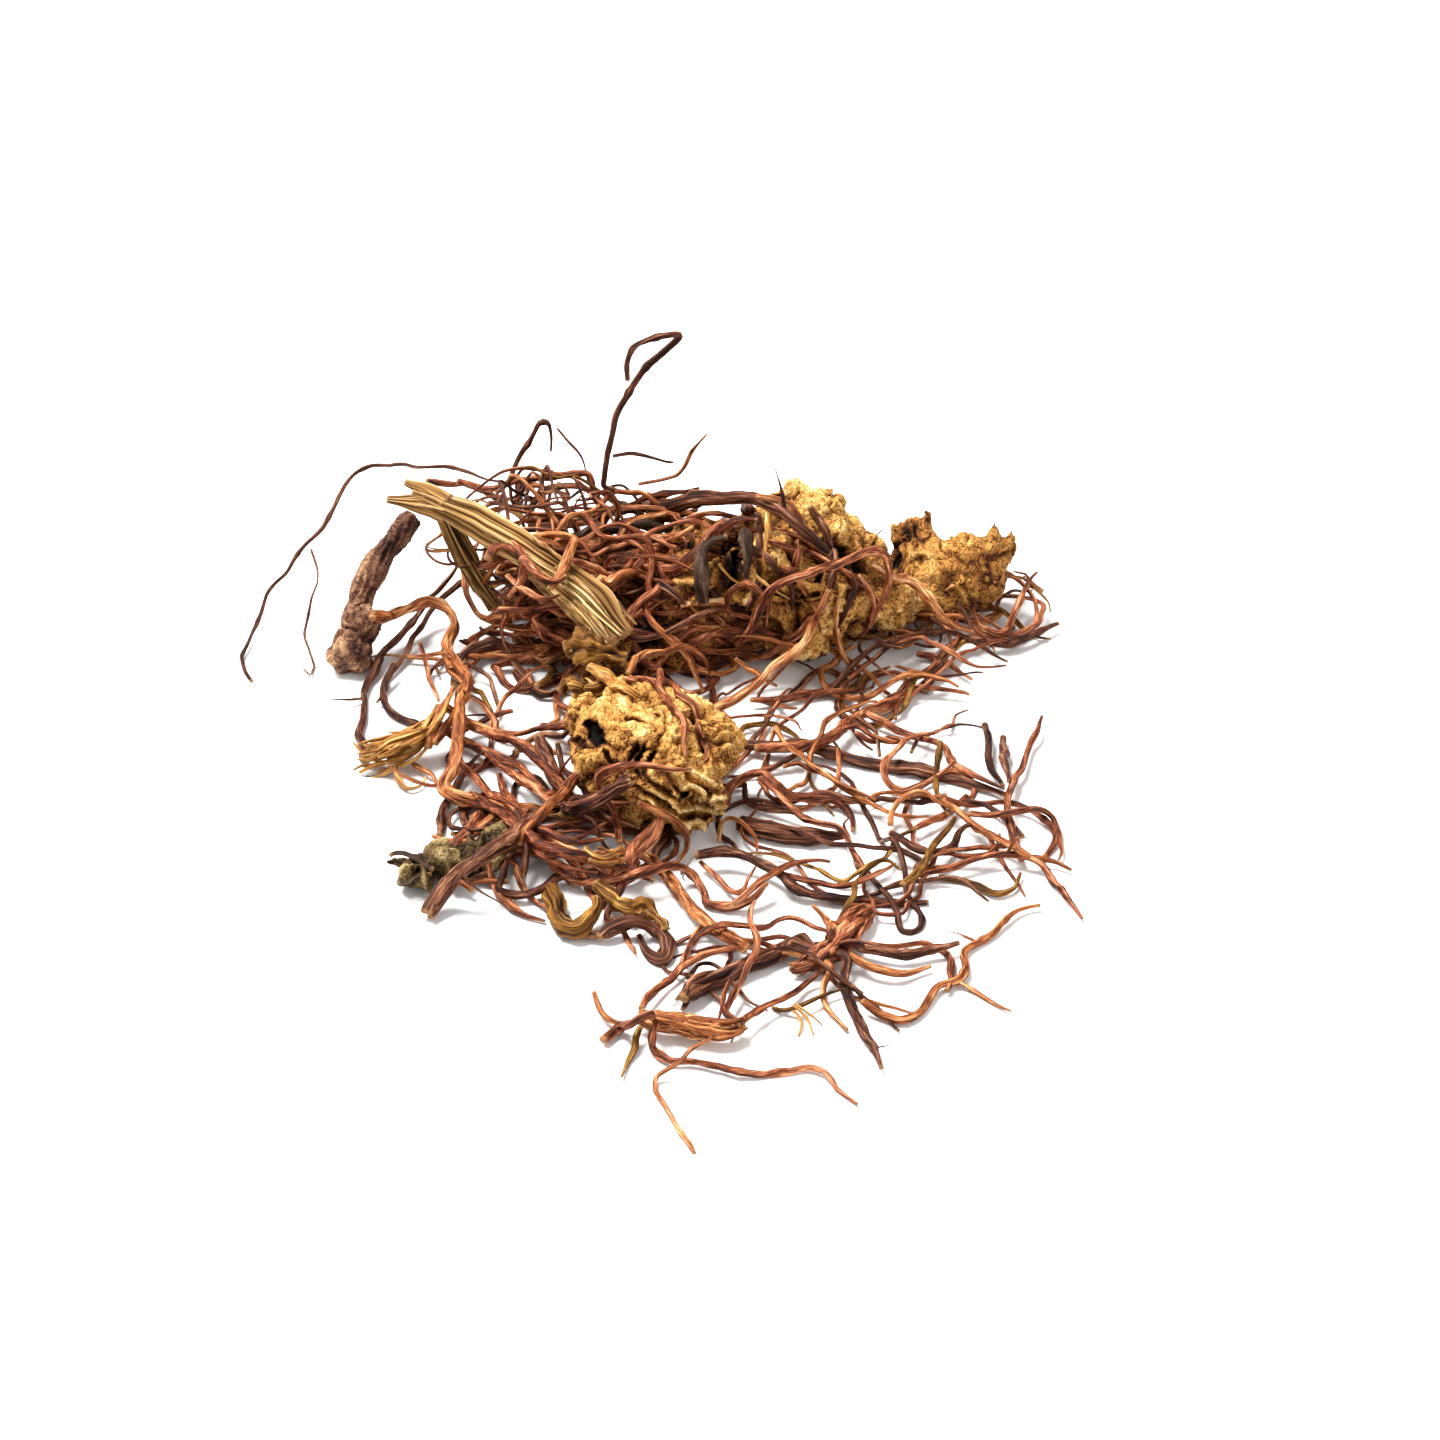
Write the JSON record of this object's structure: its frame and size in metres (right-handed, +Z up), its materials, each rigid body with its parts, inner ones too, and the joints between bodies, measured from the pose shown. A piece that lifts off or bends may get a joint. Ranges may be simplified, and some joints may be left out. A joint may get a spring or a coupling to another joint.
{
  "type": "dried aster root",
  "caption": "Dried aster root: a knobbly golden rhizome with a forked dry stem stub and a springy tangle of thin reddish-brown rootlets.",
  "frame": {"origin": "middle of the flat underside that the rhizome's crown rests on", "axes": "+Z up from the table, +X to the right and +Y away as seen from the front of the tangle"},
  "size_m": [0.1214, 0.1348, 0.0466],
  "materials": {
    "rhizome_bark": "dry, knobbly, matt",
    "dry_stem": "fibrous, matt",
    "stout_root_bark": "wrinkled, satin",
    "bud_fibre": "fibrous, matt",
    "offset_bark": "rough, matt",
    "rootlet_red": "furrowed, satin",
    "rootlet_tan": "furrowed, satin",
    "rootlet_dark": "furrowed, satin",
    "rootlet_ochre": "furrowed, matt",
    "rootlet_grey": "furrowed, matt"
  },
  "bodies": {
    "root": {"rhizome": "rhizome_bark", "stem_stub": "dry_stem", "stout_root": "stout_root_bark", "fibrous_bud": "bud_fibre", "side_offset": "offset_bark", "front_knot": "rootlet_ochre", "front_hub": "rootlet_ochre", "rootlet_left_arch": "rootlet_red", "rootlet_tall_loop": "rootlet_red", "rootlet_back_upper": "rootlet_red", "rootlet_back_bent": "rootlet_red", "rootlet_back_lower": "rootlet_dark", "rootlet_crown_s": "rootlet_red", "rootlet_crown_low": "rootlet_dark", "rootlet_grey_hook": "rootlet_grey", "rootlet_grey_prong": "rootlet_grey", "rootlet_crown_arch": "rootlet_dark", "rootlet_crown_vine": "rootlet_red", "rootlet_neck_fork": "rootlet_tan", "rootlet_neck_bow": "rootlet_tan", "rootlet_side_ladder": "rootlet_tan", "rootlet_right_bridge": "rootlet_tan", "rootlet_right_dark": "rootlet_dark", "rootlet_left_kinked": "rootlet_tan", "rootlet_left_long": "rootlet_dark", "rootlet_tan_runner": "rootlet_tan", "rootlet_dark_fork": "rootlet_dark", "rootlet_bud_upper": "rootlet_tan", "rootlet_bud_lower": "rootlet_red", "rootlet_left_crossing": "rootlet_dark", "rootlet_stout_wrinkled": "rootlet_dark", "rootlet_ochre_bend": "rootlet_ochre", "rootlet_front_loop": "rootlet_red", "rootlet_dark_loop": "rootlet_dark", "rootlet_lobe_drape": "rootlet_red", "rootlet_lobe_under": "rootlet_tan", "rootlet_dark_runner": "rootlet_dark", "rootlet_bow_loop": "rootlet_red", "rootlet_tan_bow": "rootlet_tan", "rootlet_red_diagonal": "rootlet_red", "rootlet_dark_stub": "rootlet_dark", "rootlet_front_dark": "rootlet_dark", "rootlet_right_stalk": "rootlet_dark", "rootlet_right_bend": "rootlet_red", "rootlet_right_hook": "rootlet_red", "rootlet_plum": "rootlet_red", "rootlet_olive_bow": "rootlet_ochre", "rootlet_dark_hook": "rootlet_dark", "rootlet_ochre_stalk": "rootlet_ochre", "rootlet_front_sweep": "rootlet_red", "rootlet_front_tail": "rootlet_tan", "rootlet_front_left_arm": "rootlet_red", "rootlet_front_stick": "rootlet_dark", "rootlet_hub_right": "rootlet_dark", "rootlet_front_prop": "rootlet_dark", "rootlet_front_orange": "rootlet_tan", "rootlet_front_reach": "rootlet_tan", "rootlet_front_curve": "rootlet_red", "rootlet_front_plait": "rootlet_red"}
  },
  "joints": []
}
